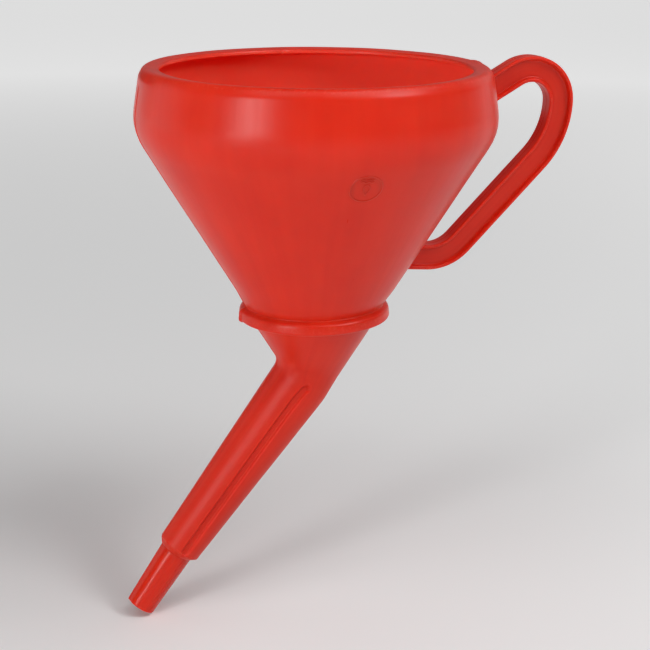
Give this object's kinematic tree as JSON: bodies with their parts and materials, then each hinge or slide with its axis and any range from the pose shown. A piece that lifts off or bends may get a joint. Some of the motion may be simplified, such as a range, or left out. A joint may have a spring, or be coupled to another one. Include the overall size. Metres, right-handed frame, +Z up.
{
  "type": "funnel",
  "caption": "Wide-mouthed fuel funnel with an angled spout, stepped nozzle tip, loop handle and a lift-out strainer.",
  "frame": {"origin": "centre of the outlet at the end of the nozzle tip", "axes": "+Z up along the bowl's axis; the handle is towards +X and the spout leans down towards -X, both in the plane Y = 0"},
  "size_m": [0.2101, 0.16, 0.2554],
  "materials": {
    "polyethylene": "satin",
    "strainer_brass": "satin",
    "strainer_gauze": "woven wire"
  },
  "bodies": {
    "funnel": {"bowl_rim": "polyethylene", "bowl_band": "polyethylene", "bowl_cone": "polyethylene", "strainer_seat": "polyethylene", "outlet_cone": "polyethylene", "spout_elbow": "polyethylene", "spout_tube": "polyethylene", "nozzle_step": "polyethylene", "nozzle_tip": "polyethylene", "handle": "polyethylene"},
    "strainer": {"strainer_ring": "strainer_brass", "strainer_gauze": "strainer_gauze"}
  },
  "joints": [
    {"name": "strainer_lift", "type": "slide", "parent": "funnel", "child": "strainer", "axis": [0, 0, 1], "range_m": [0, 0.125]}
  ]
}
